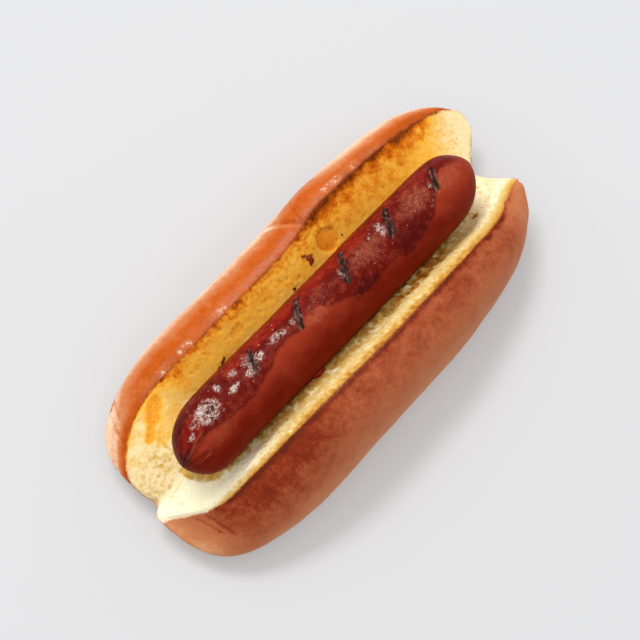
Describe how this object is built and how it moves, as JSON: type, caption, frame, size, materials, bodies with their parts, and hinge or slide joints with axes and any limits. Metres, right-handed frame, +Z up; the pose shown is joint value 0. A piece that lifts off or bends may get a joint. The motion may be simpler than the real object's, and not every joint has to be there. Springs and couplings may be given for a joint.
{
  "type": "hot dog",
  "caption": "Hot dog: a soft, glossy brown split bun lying open, with a grilled sausage resting in its groove.",
  "frame": {"origin": "centre of the bun's base, on the surface that it rests on", "axes": "+X along the bun, +Y towards the half whose cut face stands higher, +Z up out of the groove"},
  "size_m": [0.156, 0.0688, 0.0377],
  "materials": {
    "bun_crust": "egg-washed bread crust, soft gloss",
    "sausage_skin": "grilled sausage skin, oily gloss on top"
  },
  "bodies": {
    "root": {"bun": "bun_crust", "sausage": "sausage_skin"}
  },
  "joints": []
}
